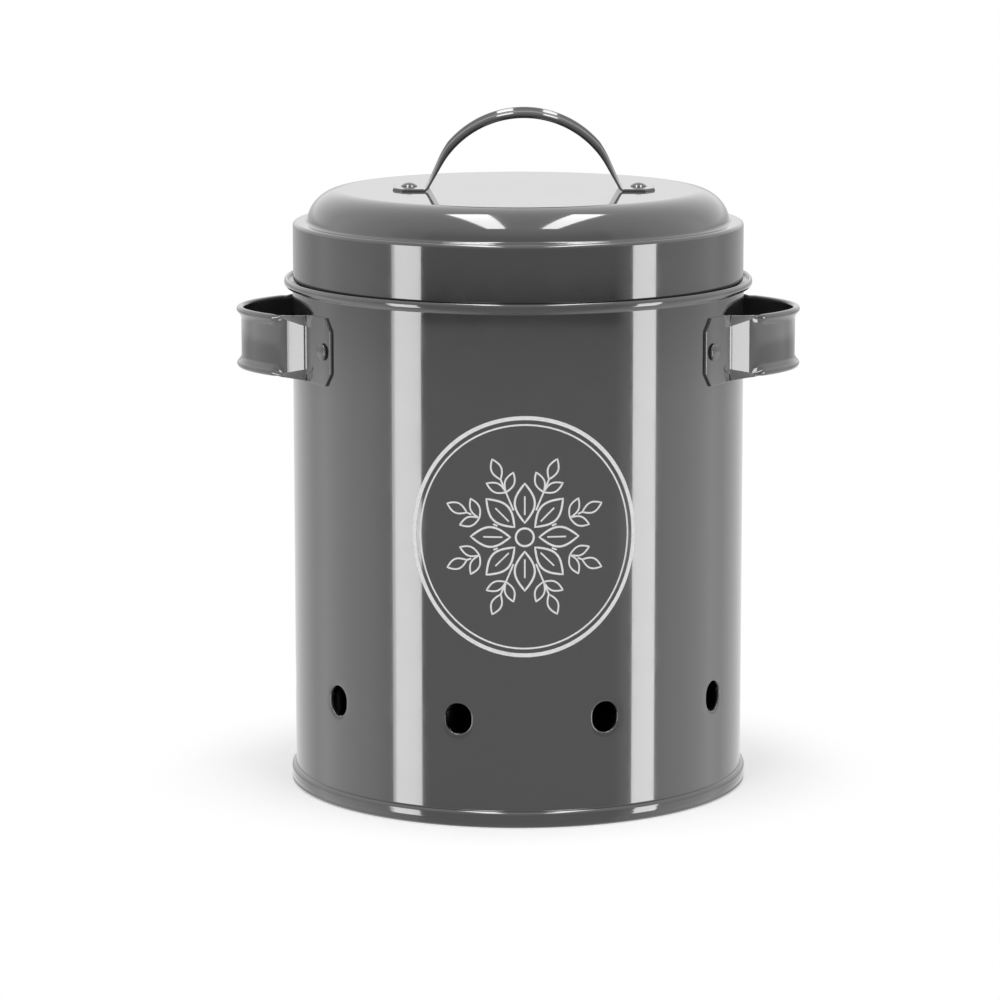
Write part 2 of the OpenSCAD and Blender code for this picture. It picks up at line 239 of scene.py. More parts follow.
def bridge(bm, a, b):
    """Faces between two closed rows with as many points each."""
    for j in range(len(a)):
        k = (j + 1) % len(a)
        bm.faces.new((a[j], a[k], b[k], b[j]))


def corner_arc(corner, d1, d2, r, steps):
    """Points of a rounded corner between the unit directions d1 and d2."""
    side = math.copysign(1, d1.x * d2.y - d1.y * d2.x)
    turn = math.acos(max(-1.0, min(1.0, d1.dot(d2))))
    first = corner - d1 * r * math.tan(turn / 2)
    across = Vector((-d1.y, d1.x)) * side
    angles = [turn * i / steps for i in range(steps + 1)]
    return [first + d1 * r * math.sin(a) + across * r * (1 - math.cos(a)) for a in angles]


def bead_points(half_w):
    """Half of a strap's section with its full bead, from the flat middle round to the inner
    face, as (across, outwards)."""
    first_a, last_a = math.radians(150), math.radians(-90)
    crest_w = EDGE_W - BEAD_R + BEAD_R * math.cos(first_a)
    crest_rise = BEAD_R * (1 + math.sin(first_a)) - STRAP_T
    points = []
    for i in range(HOLLOW_STEPS):
        s = i / HOLLOW_STEPS
        points.append((half_w - EDGE_W + s * crest_w,
                       STRAP_T + crest_rise * (1 - math.cos(s * math.pi / 2))))
    for i in range(BEAD_STEPS + 1):
        a = mix(first_a, last_a, i / BEAD_STEPS)
        points.append((half_w - BEAD_R + BEAD_R * math.cos(a), BEAD_R * (1 + math.sin(a))))
    return points


def facet_points(half_w, width, rise):
    """The same half with the bead pressed into a facet, with as many points."""
    crease = half_w - width
    inner_w = min(half_w - EDGE_W, crease - 0.1)
    points = [(mix(inner_w, crease, i / (HOLLOW_STEPS - 1)), STRAP_T)
              for i in range(HOLLOW_STEPS)]
    round_steps = 4
    face_steps = BEAD_STEPS - round_steps - 2
    for i in range(1, face_steps + 1):
        u = mix(crease, half_w - EDGE_R, i / face_steps)
        points.append((u, STRAP_T + rise * (u - crease) / width))
    for i in range(1, round_steps + 1):
        a = math.pi / 2 * (1 - i / round_steps)
        points.append((half_w - EDGE_R + EDGE_R * math.cos(a),
                       STRAP_T + rise - EDGE_R + EDGE_R * math.sin(a)))
    return points + [(half_w, rise), (half_w - width / 2, rise / 2), (crease, 0)]


def half_section(half_w, flat, width, rise):
    pairs = zip(bead_points(half_w), facet_points(half_w, width, rise))
    return [(mix(a[0], b[0], flat), mix(a[1], b[1], flat)) for a, b in pairs]


def strap_mesh(path, press_of, place):
    """A strap swept along 2-D inner-face points. press_of says from the distance to the nearer
    end how far the beads are pressed flat, the facet's width and rise, and how much wider the
    strap is. place turns a local (x, y, z) into the frame."""
    along = [0.0]
    for a, b in zip(path, path[1:]):
        along.append(along[-1] + (b - a).length)
    last = len(path) - 1
    rings = []
    for i, point in enumerate(path):
        before = (path[max(i, 1)] - path[max(i, 1) - 1]).normalized()
        after = (path[min(i, last - 1) + 1] - path[min(i, last - 1)]).normalized()
        heading = (before + after).normalized()
        out = Vector((heading.y, -heading.x)) / heading.dot(before)
        end_l = min(along[i], along[last] - along[i])
        flat, width, rise, wider = press_of(end_l)
        half_w = STRAP_W / 2 + wider - CHAMFER_W * (1 - clamp01(end_l / CHAMFER_L))
        half = half_section(half_w, flat, width, rise)
        # The strap's end is rounded as its long edges are
        tip = max(0.0, TIP_R - end_l)
        thin = 1 - (TIP_R - math.sqrt(TIP_R ** 2 - tip ** 2)) / STRAP_T
        section = half + [(-u, v) for u, v in reversed(half)]
        rings.append([place(point.x + out.x * v * thin, point.y + out.y * v * thin, u)
                      for u, v in section])
    bm = bmesh.new()
    rows = [[bm.verts.new(p) for p in ring] for ring in rings]
    n = len(rows[0])
    for a, b in zip(rows, rows[1:]):
        bridge(bm, a, b)
    # Each end is closed by strips between the two halves of its section
    for row in (rows[0], rows[-1]):
        for j in range(n // 2 - 1):
            bm.faces.new((row[j], row[j + 1], row[n - 2 - j], row[n - 1 - j]))
    bmesh.ops.recalc_face_normals(bm, faces=bm.faces)
    return bm


def tip_lengths():
    """Distances from a strap's end at which its rounded tip and cut corners need a ring."""
    steps = 6
    rounding = [TIP_R * (1 - math.cos(math.pi / 2 * i / steps)) for i in range(steps + 1)]
    return rounding + [CHAMFER_L - SUPPORT, CHAMFER_L, CHAMFER_L + SUPPORT]


def turn(centre, r1, r2, from_deg, to_deg, steps):
    """Bent sheet in a section: pairs of points on its two faces round the bend's centre."""
    angles = [math.radians(mix(from_deg, to_deg, i / steps)) for i in range(steps + 1)]
    return [(on_circle(centre, r1, a), on_circle(centre, r2, a)) for a in angles]


def supported(pairs):
    """The same pairs with support rows beside the bends on each longer straight stretch."""
    result = [pairs[0]]
    for a, b in zip(pairs, pairs[1:]):
        length = (b[0] - a[0]).length
        if length > 6 * SUPPORT:
            for share in (SUPPORT / length, 1 - SUPPORT / length):
                result.append((a[0].lerp(b[0], share), a[1].lerp(b[1], share)))
        result.append(b)
    return result


def turned_mesh(pairs):
    """A sheet turned round the Z axis. A pair on the axis closes the middle."""
    outline = [p[0] for p in pairs] + [p[1] for p in reversed(pairs)]
    bm = bmesh.new()
    rows = []
    for p in outline:
        if p.x < 1e-6:
            rows.append([bm.verts.new((0, 0, p.y * MM))])
        else:
            angles = [math.tau * i / TURN_STEPS for i in range(TURN_STEPS)]
            rows.append([bm.verts.new(Vector((p.x * math.cos(a), p.x * math.sin(a), p.y)) * MM)
                         for a in angles])
    for a, b in zip(rows, rows[1:] + rows[:1]):
        if len(a) == len(b) > 1:
            bridge(bm, a, b)
        elif len(a) != len(b):
            for i in range(TURN_STEPS):
                k = (i + 1) % TURN_STEPS
                bm.faces.new((a[0], b[i], b[k]) if len(a) == 1 else (a[i], a[k], b[0]))
    bmesh.ops.recalc_face_normals(bm, faces=bm.faces)
    return bm


def finish_piece(name, bm, material, body, sharp_deg=28.0):
    mesh = bpy.data.meshes.new(name)
    bm.to_mesh(mesh)
    bm.free()
    mesh.materials.append(material)
    mesh.shade_smooth()
    mesh.set_sharp_from_angle(angle=math.radians(sharp_deg))
    piece = bpy.data.objects.new(name, mesh)
    bpy.context.scene.collection.objects.link(piece)
    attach(piece, body)
    return piece


def camera():
    """The camera that fits the photograph: how far back and up it stands, and its pitch down."""
    back, up, pitch = 1.26, 0.3055, 9.245
    data = bpy.data.cameras.new("camera")
    data.sensor_width = 36
    data.lens = 151.36
    data.shift_x = -0.0182
    data.shift_y = -0.05
    data.clip_start, data.clip_end = 0.05, 50
    cam = bpy.data.objects.new("camera", data)
    cam.location = (0, -back, up)
    cam.rotation_euler = (math.radians(90 - pitch), 0, 0)
    bpy.context.scene.collection.objects.link(cam)
    bpy.context.scene.camera = cam


def new_material(name):
    material = bpy.data.materials.new(name)
    material.use_nodes = True
    nodes, links = material.node_tree.nodes, material.node_tree.links
    shader = nodes["Principled BSDF"]
    return material, nodes, links, shader


def noise(nodes, links, scale, detail, coords):
    node = nodes.new("ShaderNodeTexNoise")
    node.inputs["Scale"].default_value = scale
    node.inputs["Detail"].default_value = detail
    links.new(coords, node.inputs["Vector"])
    return node.outputs["Fac"]


def spread(nodes, links, value, low, high):
    """The value of a noise, from its usual range of 0.3 to 0.7, mapped to low..high."""
    node = nodes.new("ShaderNodeMapRange")
    node.inputs["From Min"].default_value = 0.3
    node.inputs["From Max"].default_value = 0.7
    node.inputs["To Min"].default_value = low
    node.inputs["To Max"].default_value = high
    links.new(value, node.inputs["Value"])
    return node.outputs["Result"]


def painted(name, colours, tint, rough, grain):
    """A coat of paint. tint, rough and grain each start with the scale and detail of a noise.
    tint goes on with the least and greatest share of the second colour, rough with those of the
    roughness, and grain with the strength of the bump."""
    material, nodes, links, shader = new_material(name)
    coords = nodes.new("ShaderNodeTexCoord").outputs["Object"]
    tinted = nodes.new("ShaderNodeMix")
    tinted.data_type = "RGBA"
    tinted.inputs["A"].default_value = (*colours[0], 1)
    tinted.inputs["B"].default_value = (*colours[1], 1)
    for (scale, detail, low, high), socket in ((tint, tinted.inputs["Factor"]),
                                               (rough, shader.inputs["Roughness"])):
        value = noise(nodes, links, scale, detail, coords)
        links.new(spread(nodes, links, value, low, high), socket)
    links.new(tinted.outputs["Result"], shader.inputs["Base Color"])
    scale, detail, strength = grain
    bump = nodes.new("ShaderNodeBump")
    bump.inputs["Strength"].default_value = strength
    bump.inputs["Distance"].default_value = 0.00002
    links.new(noise(nodes, links, scale, detail, coords), bump.inputs["Height"])
    links.new(bump.outputs["Normal"], shader.inputs["Normal"])
    return material, shader


def enamel(name, colour, light_colour):
    """Gloss stove enamel on sheet steel: faint orange peel, a little haze and drift of colour."""
    material, shader = painted(name, (colour, light_colour), tint=(38, 3, 0.0, 0.35),
                               rough=(120, 4, 0.07, 0.12), grain=(420, 2, 0.05))
    shader.inputs["Specular IOR Level"].default_value = 0.8
    shader.inputs["Coat Weight"].default_value = 1.0
    shader.inputs["Coat Roughness"].default_value = 0.02
    return material


def ink(name, colour):
    """Matt printed ink, a little uneven."""
    darker = [c * 0.9 for c in colour]
    material, _ = painted(name, (colour, darker), tint=(900, 3, 0.0, 1.0),
                          rough=(300, 2, 0.3, 0.42), grain=(1500, 2, 0.1))
    return material


def paint_nodes(steel, rivet):
    for node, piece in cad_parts.items():
        material = rivet if "rivet" in node else steel
        if not piece.material_slots:
            piece.data.materials.append(material)
        for slot in piece.material_slots:
            slot.material = material


def carried(name, bm, material, body, node, sharp_deg=28.0):
    piece = finish_piece(name, bm, material, body, sharp_deg)
    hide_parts(node)
    return piece


def base(steel):
    """Panel, upright wall, and the skirt of the bottom seam: bulged, rounded at its top and
    run into the wall by the enamel."""
    edge_in_r = SEAM_EDGE_R - SHEET_T
    chuck_r = MOUTH_R - SEAM_GAP
    inner_edge = (chuck_r - SHEET_T + SEAM_EDGE_R, SEAM_EDGE_R)
    outer_edge = (SKIRT_R - SEAM_EDGE_R, SEAM_EDGE_R)
    pairs = [(Vector((0, PANEL_H)), Vector((0, PANEL_H - SHEET_T)))]
    pairs += turn((chuck_r - PANEL_R, PANEL_H - PANEL_R), PANEL_R, PANEL_R - SHEET_T,
                  90, 0, TIGHT_STEPS)
    pairs += turn(inner_edge, edge_in_r, SEAM_EDGE_R, 180, 270, TIGHT_STEPS)
    pairs += turn(outer_edge, edge_in_r, SEAM_EDGE_R, 270, SKIRT_FOOT_A, TIGHT_STEPS)
    bulge_steps = 10
    for i in range(1, bulge_steps):
        z = mix(SEAM_EDGE_R, SKIRT_ROUND_Z, i / bulge_steps)
        r = SKIRT_R - (z - SKIRT_BULGE_Z) ** 2 / (2 * SKIRT_BULGE_R)
        pairs.append((Vector((r - SHEET_T, z)), Vector((r, z))))
    axis = Vector((BODY_R + SKIRT_AXIS_GAP, SKIRT_ROUND_Z))
    reach = Vector((SKIRT_R - axis.x, SEAM_H + SKIRT_RISE - axis.y))
    for i in range(TIGHT_STEPS + 1):
        a = math.radians(mix(0, SKIRT_LAST_A, i / TIGHT_STEPS))
        pairs.append(tuple(axis + Vector(((reach.x - t) * math.cos(a), (reach.y - t) * math.sin(a)))
                           for t in (SHEET_T, 0)))
    # The enamel's own back stays just off the wall
    back_r = BODY_R + 0.015
    for r, z in SKIRT_FILLET:
        pairs.append((Vector((back_r, SEAM_H + z - SHEET_T)), Vector((BODY_R + r, SEAM_H + z))))
    carried("canister_base", turned_mesh(supported(pairs)), steel, "canister", "base_pan")


def lid(steel):
    tight_r, wide_r = JOGGLE_R - SHEET_T / 2, JOGGLE_R + SHEET_T / 2
    joggle = math.degrees(math.acos(1 - (BAND_R - NECK_R) / (2 * JOGGLE_R)))
    neck_top_z = BAND_Z - 2 * JOGGLE_R * math.sin(math.radians(joggle))
    hem_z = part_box("lid_shell")[0].z / MM + HEM_R
    ledge_z = CORNER_Z + CORNER_R
    hollow_axis_r = BAND_R - CORNER_R - LEDGE_W
    dome = math.degrees(math.acos(1 - DOME_H / (DOME_R + HOLLOW_R)))
    plateau_r = hollow_axis_r - (DOME_R + HOLLOW_R) * math.sin(math.radians(dome))
    plateau_z = ledge_z + DOME_H
    pairs = turn((NECK_R - HEM_R, hem_z), HEM_R, HEM_R - SHEET_T, HEM_FIRST_A, 360, CURL_STEPS)
    pairs += turn((NECK_R + tight_r, neck_top_z), tight_r, wide_r, 180, 180 - joggle,
                  TIGHT_STEPS)
    pairs += turn((BAND_R - wide_r, BAND_Z), wide_r, tight_r, -joggle, 0, TIGHT_STEPS)
    pairs += turn((BAND_R - CORNER_R, CORNER_Z), CORNER_R, CORNER_R - SHEET_T, 0, 90,
                  TIGHT_STEPS)
    pairs += turn((hollow_axis_r, ledge_z + HOLLOW_R), HOLLOW_R, HOLLOW_R + SHEET_T,
                  270, 270 - dome, TIGHT_STEPS)
    pairs += turn((plateau_r, plateau_z - DOME_R), DOME_R, DOME_R - SHEET_T,
                  90 - dome, 90, DOME_STEPS)
    # Rows of the flat top, in to the axis
    pairs += [(Vector((r, plateau_z)), Vector((r, plateau_z - SHEET_T))) for r in (20, 5, 0)]
    carried("lid_cover", turned_mesh(supported(pairs)), steel, "lid", "lid_shell")


def wall_bends():
    """Pairs of points on the wall's two faces, the inner one first: those of the rim, from the
    roll's free edge to the flare, and those of the hook in the bottom seam."""
    centre = Vector((ROLL_R, RIM_H - ROLL_HALF_H))
    rim = []
    for i in range(CURL_STEPS + 1):
        a = math.radians(mix(ROLL_FIRST_A, 180, i / CURL_STEPS))
        rim.append(tuple(centre + Vector(((ROLL_HALF_W - t) * math.cos(a),
                                          (ROLL_HALF_H - t) * math.sin(a)))
                         for t in (0, SHEET_T)))
    neck_r = ROLL_R - ROLL_HALF_W
    flare = neck_r - MOUTH_R
    # The outer face of the 45 degree flare bends this much lower than the inner one
    drop = SHEET_T * math.tan(math.radians(22.5))
    for r, z in ((neck_r, FLARE_Z + flare), (MOUTH_R, FLARE_Z)):
        rim.append((Vector((r, z)), Vector((r + SHEET_T, z - drop))))
    in_r = SEAM_GAP + SHEET_T / 2
    low_z = 2 * SHEET_T + SEAM_GAP + in_r
    hook_r = BODY_R + 2 * SEAM_GAP + SHEET_T
    hook = turn((BODY_R + in_r, low_z), in_r + SHEET_T, in_r, 180, 360, 2 * TIGHT_STEPS)
    hook.append((Vector((hook_r + SHEET_T, HOOK_END_Z)), Vector((hook_r, HOOK_END_Z))))
    return rim, hook


def vent_angle(i):
    return VENT_TURN - 90 + (i - (VENT_COUNT - 1) / 2) * VENT_STEP


def wall_columns():
    """Angles of the wall's columns in degrees, each with its depth in the outer groove, from 0
    to 1, and on the inner lap, from 0 to 1. Also the first column of each vent's patch."""
    half = math.degrees(VENT_PATCH_HALF / BODY_R)
    gap_steps, back_steps = 12, 3
    columns, firsts = [], []
    for i in range(VENT_COUNT):
        a = vent_angle(i)
        firsts.append(len(columns))
        columns += [(mix(a - half, a + half, k / VENT_PATCH_STEPS), 0, 0)
                    for k in range(VENT_PATCH_STEPS)]
        if i < VENT_COUNT - 1:
            columns += [(mix(a + half, a + VENT_STEP - half, k / gap_steps), 0, 0)
                        for k in range(gap_steps)]
    seam = VENT_TURN + 90
    last, first = vent_angle(VENT_COUNT - 1) + half, vent_angle(0) - half + 360
    groove = math.degrees(GROOVE_W / 2 / BODY_R)
    lap = math.degrees(LAP_W / 2 / BODY_R)
    edge = math.degrees(STEP_W / BODY_R)
    columns += [(mix(last, seam - lap - edge, k / back_steps), 0, 0) for k in range(back_steps)]
    stops = [(lap + edge, 0, 0), (lap, 0, 1), (lap / 2, 0, 1), (groove, 0, 1),
             (groove - edge, 1, 1)]
    columns += [(seam - a, grooved, lapped) for a, grooved, lapped in stops]
    columns += [(seam + a, grooved, lapped) for a, grooved, lapped in reversed(stops)]
    columns += [(mix(seam + lap + edge, first, k / back_steps), 0, 0)
                for k in range(1, back_steps)]
    return columns, firsts


def vent_rings(boundary):
    """Loops of (across, up, depth) from the wall's face over the dished edge and the lip turned
    inwards, and back to the wall's inner face. boundary gives the loops' directions."""
    lip = []
    lip_steps = 5
    for i in range(lip_steps + 1):
        a = math.radians(mix(VENT_LIP_FIRST_A, 90, i / lip_steps))
        lip.append((VENT_LIP_R * (1 - math.sin(a)), VENT_DISH + VENT_LIP_R * (1 - math.cos(a))))
    lip += [(0.0, VENT_LIP), (SHEET_T, VENT_LIP)]
    rise = (VENT_H - VENT_W) / 2
    loops = []
    for grow, depth in (*VENT_EDGE, *lip, *VENT_BACK):
        r = VENT_W / 2 + grow
        loop = []
        for u, v in boundary:
            a = math.atan2(v, u)
            lift = rise * (0 if abs(math.sin(a)) < 1e-6 else math.copysign(1, v))
            loop.append((r * math.cos(a), lift + r * math.sin(a), depth))
        loops.append(loop)
    return loops


def vent_loops(boundary):
    """The vent's rings with plain ones before and after them, which lead from and to the square
    edge of its patch."""
    rings = vent_rings(boundary)

    def plain(ring, depth, shares):
        return [[(mix(b[0], p[0], share), mix(b[1], p[1], share), depth)
                 for b, p in zip(boundary, ring)] for share in shares]

    return (plain(rings[0], 0.0, (0.25, 0.5, 0.75)) + rings
            + plain(rings[-1], SHEET_T, (0.75, 0.5, 0.25)))


def patch_boundary():
    """Points round the square edge of a vent's patch, from its first upper corner."""
    half = VENT_PATCH_HALF
    steps = [mix(-half, half, k / VENT_PATCH_STEPS) for k in range(VENT_PATCH_STEPS)]
    boundary = [(u, half) for u in steps] + [(half, -v) for v in steps]
    return boundary + [(-u, -half) for u in steps] + [(-half, v) for v in steps]


def patch_edge(grid, row, column):
    """The wall's own points round the hole for a vent's patch, in the same order."""
    m = VENT_PATCH_STEPS

    def corner(i, k):
        return grid[row + i][(column + k) % len(grid[row])]

    edge = [corner(0, k) for k in range(m)] + [corner(i, m) for i in range(m)]
    return edge + [corner(m, m - k) for k in range(m)] + [corner(m - i, 0) for i in range(m)]


def fill_vent(bm, middle, loops, outer_edge, inner_edge):
    """Mesh of the vent at the angle middle, between the holes in the wall's two faces."""
    chain = [outer_edge]
    for loop in loops:
        row = []
        for u, up, depth in loop:
            t = math.radians(middle) + u / BODY_R
            r = BODY_R - depth
            row.append(bm.verts.new(Vector((r * math.cos(t), r * math.sin(t), VENT_Z + up)) * MM))
        chain.append(row)
    chain.append(inner_edge)
    for a, b in zip(chain, chain[1:]):
        bridge(bm, a, b)


def wall_rows():
    """For each face of the wall, rows of (r, z, is in the upright seam) from the rim down to the
    bottom hook. Also the row where the vents' patches start."""
    rim, hook = wall_bends()
    rim = supported(rim)
    patch_z = [VENT_Z + VENT_PATCH_HALF * (1 - 2 * k / VENT_PATCH_STEPS)
               for k in range(VENT_PATCH_STEPS + 1)]
    heights = [FLARE_Z - 3 * SUPPORT, SEAM_TOP_Z + STEP_W, SEAM_TOP_Z]
    body_steps = 6
    heights += [mix(SEAM_TOP_Z, patch_z[0], k / body_steps) for k in range(1, body_steps)]
    first_patch = len(rim) + len(heights)
    heights += patch_z + [PANEL_H + 2 * STEP_W, PANEL_H + STEP_W, SEAM_H - STEP_W]
    faces = []
    for face, r in enumerate((MOUTH_R, BODY_R)):
        rows = [(p[face].x, p[face].y, False) for p in rim]
        rows += [(r, z, PANEL_H + STEP_W <= z <= SEAM_TOP_Z) for z in heights]
        faces.append(rows + [(p[face].x, p[face].y, False) for p in hook])
    return faces, first_patch


def wall_grid(bm, rows, columns, firsts, first_patch):
    """Mesh of one face of the wall, with holes for the vents' patches. A column is its angle and
    how far outwards the upright seam moves it."""
    n = len(columns)
    grid = []
    for i, (r, z, seamed) in enumerate(rows):
        inside = first_patch < i < first_patch + VENT_PATCH_STEPS
        row = []
        for k, (a, seam_change) in enumerate(columns):
            if inside and any(0 < (k - f) % n < VENT_PATCH_STEPS for f in firsts):
                row.append(None)
                continue
            change = seam_change if seamed else 0
            t = math.radians(a)
            at = Vector(((r + change) * math.cos(t), (r + change) * math.sin(t), z))
            row.append(bm.verts.new(at * MM))
        grid.append(row)
    for i, (upper, lower) in enumerate(zip(grid, grid[1:])):
        in_patch = first_patch <= i < first_patch + VENT_PATCH_STEPS
        for k in range(n):
            if in_patch and any((k - f) % n < VENT_PATCH_STEPS for f in firsts):
                continue
            m = (k + 1) % n
            bm.faces.new((upper[k], upper[m], lower[m], lower[k]))
    return grid


def round_normals(mesh):
    """Gives the points on the plain outer face of the wall the cylinder's own normals."""
    normals = []
    for vertex in mesh.vertices:
        r = math.hypot(vertex.co.x, vertex.co.y)
        plain = abs(r - BODY_R * MM) < 1e-7 and SEAM_H * MM < vertex.co.z < SEAM_TOP_Z * MM
        normals.append((vertex.co.x / r, vertex.co.y / r, 0) if plain else (0, 0, 0))
    mesh.normals_split_custom_set_from_vertices(normals)


def wall(steel):
    (inner_rows, outer_rows), first_patch = wall_rows()
    columns, firsts = wall_columns()
    bm = bmesh.new()
    inner = wall_grid(bm, inner_rows, [(a, -SHEET_T * lap) for a, _, lap in columns],
                      firsts, first_patch)
    outer = wall_grid(bm, outer_rows, [(a, -GROOVE_DEPTH * groove) for a, groove, _ in columns],
                      firsts, first_patch)
    loops = vent_loops(patch_boundary())
    for i, first in enumerate(firsts):
        fill_vent(bm, vent_angle(i), loops, patch_edge(outer, first_patch, first),
                  patch_edge(inner, first_patch, first))
    bridge(bm, inner[0], outer[0])
    bridge(bm, inner[-1], outer[-1])
    bmesh.ops.recalc_face_normals(bm, faces=bm.faces)
    piece = carried("canister_wall", bm, steel, "canister", "body_shell")
    round_normals(piece.data)


def fold_angle():
    """Angle in radians between a side handle's middle and its fold, which is where the circle of
    LOOP_R through the nose would meet the flange's."""
    loop_x = BODY_R + LOOP_OUT - BEAD_D - LOOP_R
    fold_x = (FLANGE_R ** 2 - LOOP_R ** 2 + loop_x ** 2) / (2 * loop_x)
    return math.acos(fold_x / FLANGE_R)


def web_way(faces, share):
    """The way that the web goes at a share of its length."""
    (a, from_deg), (b, to_deg) = next(pair for pair in zip(faces, faces[1:])
                                      if share <= pair[1][0])
    return facing(math.radians(mix(from_deg, to_deg, (share - a) / (b - a))))


def handle_front(web_faces):
    """Path of a side handle from its front end over the flange, the fold and the web."""
    fold_a = fold_angle()
    flange_steps = 10
    lengths = tip_lengths() + [mix(CHAMFER_L, FLANGE_L - FOLD_R, k / flange_steps)
                               for k in range(1, flange_steps)]
    flange = [on_circle((0, 0), FLANGE_R, -(fold_a + (FLANGE_L - l) / FLANGE_R)) for l in lengths]
    wall_way = Vector((math.sin(fold_a), math.cos(fold_a)))
    bend = corner_arc(on_circle((0, 0), FLANGE_R, -fold_a), wall_way, web_way(web_faces, 0),
                      FOLD_R, BEND_STEPS)
    web = [bend[-1]]
    # Closer steps beside the fold, where the web turns most, and a short last one at the kink
    stops = [(i / WEB_STEPS) ** 1.6 for i in range(WEB_STEPS)] + [0.98, 1.0]
    for a, b in zip(stops, stops[1:]):
        web.append(web[-1] + web_way(web_faces, (a + b) / 2) * WEB_L * (b - a))
    return flange + bend + web[1:]


def half_loop(kink):
    """Path of the loop from the kink to the nose, where it faces sideways. The radii of its two
    arcs follow from where it starts and ends."""
    near, mid, end = (math.radians(a) for a in LOOP_FACES)
    nose = Vector((BODY_R + LOOP_OUT - BEAD_D, 0))
    reach = nose - kink
    x1, x2 = math.sin(mid) - math.sin(near), math.sin(end) - math.sin(mid)
    y1, y2 = math.cos(near) - math.cos(mid), math.cos(mid) - math.cos(end)
    det = x1 * y2 - x2 * y1
    r1 = (reach.x * y2 - x2 * reach.y) / det
    r2 = (x1 * reach.y - reach.x * y1) / det
    faces = [near + SUPPORT / r1]
    faces += [mix(near, end, i / LOOP_STEPS) for i in range(1, LOOP_STEPS + 1)]
    points = [kink]
    at = near
    for face in faces:
        step = Vector((math.sin(face) - math.sin(at), math.cos(at) - math.cos(face)))
        points.append(points[-1] + step * (r1 if (at + face) / 2 < mid else r2))
        at = face
    # The small error of the arcs' joint is spread over the loop
    miss = nose - points[-1]
    return [p + miss * i / (len(points) - 1) for i, p in enumerate(points)]


def side_handle(name, sign, web_faces, node, steel):
    *front, kink = handle_front(web_faces)
    path = front + half_loop(kink)
    path += [Vector((p.x, -p.y)) for p in reversed(path[:-1])]

    def press_of(end_l):
        share = clamp01((end_l - FLANGE_L) / FACET_L)
        up = clamp01((end_l - FLANGE_L + FACET_START_L) / FACET_START_L)
        flat = 1 - clamp01((end_l - FLANGE_L - FACET_L) / BEAD_L)
        wider = SPREAD * clamp01((FLANGE_L + WEB_L - end_l) / (WEB_L + SPREAD_FADE_L))
        return flat, mix(*FACET_W, share), FACET_RISE * up, wider

    bm = strap_mesh(path, press_of, lambda x, y, z: Vector((sign * x, y, z + LOOP_Z)) * MM)
    carried(name, bm, steel, "canister", node, sharp_deg=12.0)


def side_rivet(name, a, node, paint):
    """A rivet with its axis at the angle a: the round tail inside, the shank and the head."""
    axis = Vector((math.cos(a), math.sin(a), 0))
    across = Vector((-math.sin(a), math.cos(a), 0))
    seat_r = FLANGE_R + STRAP_T + SEAT_GAP
    tail_z = math.sqrt(MOUTH_R ** 2 - TAIL_R ** 2) - SEAT_GAP - seat_r
    tail = [(TAIL_R - TAIL_H / 2 + TAIL_H / 2 * math.cos(t),
             tail_z - TAIL_H / 2 + TAIL_H / 2 * math.sin(t))
            for t in (math.radians(mix(-90, 90, i / TIGHT_STEPS)) for i in range(TIGHT_STEPS + 1))]
    outline = tail + [(SHANK_R, tail_z), (SHANK_R, HEAD_OUTLINE[0][1])] + list(HEAD_OUTLINE)

    def place(r, h, t):
        return (axis * (seat_r + h) + across * r * math.cos(t)
                + Vector((0, 0, LOOP_Z + r * math.sin(t)))) * MM

    bm = bmesh.new()
    turns = [math.tau * k / RIVET_STEPS for k in range(RIVET_STEPS)]
    rows = [[bm.verts.new(place(r, h, t)) for t in turns] for r, h in outline]
    low = bm.verts.new(place(0, tail_z - TAIL_H, 0))
    top = bm.verts.new(place(0, HEAD_H, 0))
    for k in range(RIVET_STEPS):
        m = (k + 1) % RIVET_STEPS
        bm.faces.new((low, rows[0][k], rows[0][m]))
        bm.faces.new((top, rows[-1][k], rows[-1][m]))
        for lower, upper in zip(rows, rows[1:]):
            bm.faces.new((lower[k], lower[m], upper[m], upper[k]))
    bmesh.ops.recalc_face_normals(bm, faces=bm.faces)
    piece = finish_piece(name, bm, paint, "canister", sharp_deg=30.0)
    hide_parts(node)


def side_rivets(paint):
    rivet_a = fold_angle() + FLANGE_RIVET / FLANGE_R
    for side, middle, sign in (("right", 0.0, 1), ("left", math.pi, -1)):
        for end, a in (("front", -rivet_a), ("back", rivet_a)):
            side_rivet(f"rivet_{side}_{end}", middle + a * sign, f"side_rivet_{side}_{end}", paint)


